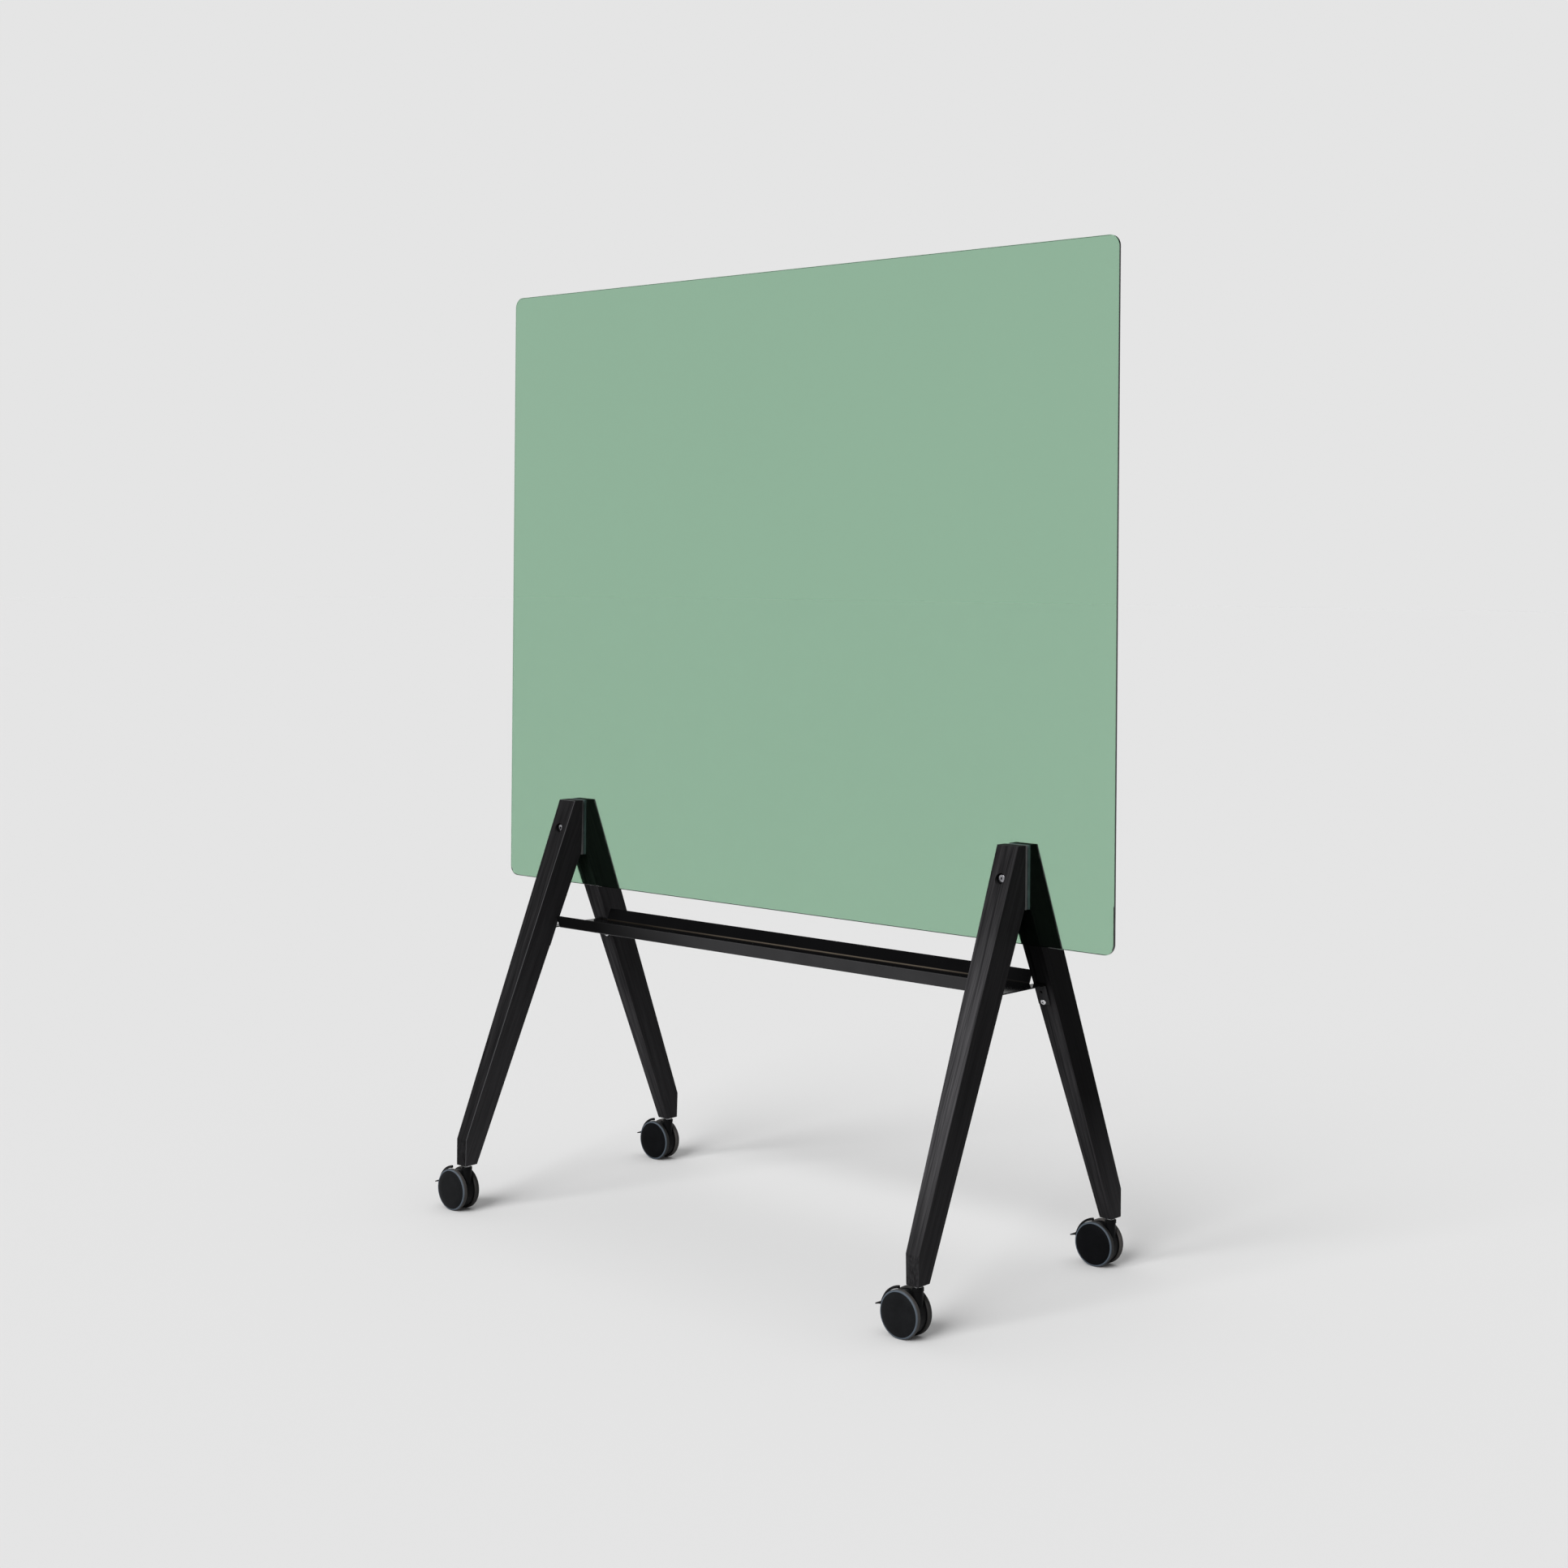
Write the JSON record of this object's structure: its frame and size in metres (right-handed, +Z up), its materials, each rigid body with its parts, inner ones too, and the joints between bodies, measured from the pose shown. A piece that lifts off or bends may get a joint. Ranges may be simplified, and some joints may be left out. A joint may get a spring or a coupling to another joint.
{
  "type": "mobile glass whiteboard",
  "caption": "Mobile whiteboard with a tinted glass pane clamped between black wooden A-frame legs, a folded sheet-steel marker tray and swivel castors with foot brakes.",
  "frame": {"origin": "on the floor, below the middle of the glass", "axes": "+X along the glass to the right, +Y from front to back, +Z up"},
  "size_m": [1.5, 0.599, 1.812],
  "materials": {
    "glass": "clear green float glass",
    "stained_wood": "black stained, satin",
    "clamp_pad": "matt grey",
    "tray_steel": "semi-gloss black powder coat",
    "zinc_steel": "bright zinc",
    "insert_brass": "plain brass",
    "bush_nylon": "natural nylon",
    "castor_nylon": "fine textured black",
    "tread_rubber": "soft grey"
  },
  "bodies": {
    "frame": {"glass_pane": "glass", "marker_tray": "tray_steel", "front_left_leg": "stained_wood", "front_left_pad": "clamp_pad", "front_left_socket": "zinc_steel", "front_right_leg": "stained_wood", "front_right_pad": "clamp_pad", "front_right_socket": "zinc_steel", "rear_left_leg": "stained_wood", "rear_left_pad": "clamp_pad", "rear_left_socket": "zinc_steel", "rear_right_leg": "stained_wood", "rear_right_pad": "clamp_pad", "rear_right_socket": "zinc_steel", "clamp_bolts": "zinc_steel", "clamp_nuts": "zinc_steel", "tray_screws": "zinc_steel", "leg_inserts": "insert_brass", "glass_bushes": "bush_nylon"},
    "front_left_castor": {"front_left_stem": "zinc_steel", "front_left_hood": "castor_nylon", "front_left_axle": "zinc_steel", "front_left_brake_pin": "zinc_steel"},
    "front_left_outer_roller": {"front_left_outer_wheel": "castor_nylon", "front_left_outer_tread": "tread_rubber"},
    "front_left_inner_roller": {"front_left_inner_wheel": "castor_nylon", "front_left_inner_tread": "tread_rubber"},
    "front_left_brake": {"front_left_brake_lever": "castor_nylon"},
    "front_right_castor": {"front_right_stem": "zinc_steel", "front_right_hood": "castor_nylon", "front_right_axle": "zinc_steel", "front_right_brake_pin": "zinc_steel"},
    "front_right_outer_roller": {"front_right_outer_wheel": "castor_nylon", "front_right_outer_tread": "tread_rubber"},
    "front_right_inner_roller": {"front_right_inner_wheel": "castor_nylon", "front_right_inner_tread": "tread_rubber"},
    "front_right_brake": {"front_right_brake_lever": "castor_nylon"},
    "rear_left_castor": {"rear_left_stem": "zinc_steel", "rear_left_hood": "castor_nylon", "rear_left_axle": "zinc_steel", "rear_left_brake_pin": "zinc_steel"},
    "rear_left_outer_roller": {"rear_left_outer_wheel": "castor_nylon", "rear_left_outer_tread": "tread_rubber"},
    "rear_left_inner_roller": {"rear_left_inner_wheel": "castor_nylon", "rear_left_inner_tread": "tread_rubber"},
    "rear_left_brake": {"rear_left_brake_lever": "castor_nylon"},
    "rear_right_castor": {"rear_right_stem": "zinc_steel", "rear_right_hood": "castor_nylon", "rear_right_axle": "zinc_steel", "rear_right_brake_pin": "zinc_steel"},
    "rear_right_outer_roller": {"rear_right_outer_wheel": "castor_nylon", "rear_right_outer_tread": "tread_rubber"},
    "rear_right_inner_roller": {"rear_right_inner_wheel": "castor_nylon", "rear_right_inner_tread": "tread_rubber"},
    "rear_right_brake": {"rear_right_brake_lever": "castor_nylon"}
  },
  "joints": [
    {"name": "front_left_swivel", "type": "hinge", "parent": "frame", "child": "front_left_castor", "pos_m": [-0.56, -0.27725, 0.09], "axis": [0, 0, 1], "continuous": true},
    {"name": "front_left_outer_spin", "type": "hinge", "parent": "front_left_castor", "child": "front_left_outer_roller", "pos_m": [-0.584, -0.27725, 0.04], "axis": [0, 1, 0], "continuous": true},
    {"name": "front_left_inner_spin", "type": "hinge", "parent": "front_left_castor", "child": "front_left_inner_roller", "pos_m": [-0.584, -0.27725, 0.04], "axis": [0, 1, 0], "continuous": true},
    {"name": "front_left_brake_press", "type": "hinge", "parent": "front_left_castor", "child": "front_left_brake", "pos_m": [-0.61036, -0.27725, 0.04882], "axis": [0, -1, 0], "range_deg": [0, 10.5]},
    {"name": "front_right_swivel", "type": "hinge", "parent": "frame", "child": "front_right_castor", "pos_m": [0.56, -0.27725, 0.09], "axis": [0, 0, 1], "continuous": true},
    {"name": "front_right_outer_spin", "type": "hinge", "parent": "front_right_castor", "child": "front_right_outer_roller", "pos_m": [0.536, -0.27725, 0.04], "axis": [0, 1, 0], "continuous": true},
    {"name": "front_right_inner_spin", "type": "hinge", "parent": "front_right_castor", "child": "front_right_inner_roller", "pos_m": [0.536, -0.27725, 0.04], "axis": [0, 1, 0], "continuous": true},
    {"name": "front_right_brake_press", "type": "hinge", "parent": "front_right_castor", "child": "front_right_brake", "pos_m": [0.50964, -0.27725, 0.04882], "axis": [0, -1, 0], "range_deg": [0, 10.5]},
    {"name": "rear_left_swivel", "type": "hinge", "parent": "frame", "child": "rear_left_castor", "pos_m": [-0.56, 0.27725, 0.09], "axis": [0, 0, 1], "continuous": true},
    {"name": "rear_left_outer_spin", "type": "hinge", "parent": "rear_left_castor", "child": "rear_left_outer_roller", "pos_m": [-0.584, 0.27725, 0.04], "axis": [0, 1, 0], "continuous": true},
    {"name": "rear_left_inner_spin", "type": "hinge", "parent": "rear_left_castor", "child": "rear_left_inner_roller", "pos_m": [-0.584, 0.27725, 0.04], "axis": [0, 1, 0], "continuous": true},
    {"name": "rear_left_brake_press", "type": "hinge", "parent": "rear_left_castor", "child": "rear_left_brake", "pos_m": [-0.61036, 0.27725, 0.04882], "axis": [0, -1, 0], "range_deg": [0, 10.5]},
    {"name": "rear_right_swivel", "type": "hinge", "parent": "frame", "child": "rear_right_castor", "pos_m": [0.56, 0.27725, 0.09], "axis": [0, 0, 1], "continuous": true},
    {"name": "rear_right_outer_spin", "type": "hinge", "parent": "rear_right_castor", "child": "rear_right_outer_roller", "pos_m": [0.536, 0.27725, 0.04], "axis": [0, 1, 0], "continuous": true},
    {"name": "rear_right_inner_spin", "type": "hinge", "parent": "rear_right_castor", "child": "rear_right_inner_roller", "pos_m": [0.536, 0.27725, 0.04], "axis": [0, 1, 0], "continuous": true},
    {"name": "rear_right_brake_press", "type": "hinge", "parent": "rear_right_castor", "child": "rear_right_brake", "pos_m": [0.50964, 0.27725, 0.04882], "axis": [0, -1, 0], "range_deg": [0, 10.5]}
  ]
}
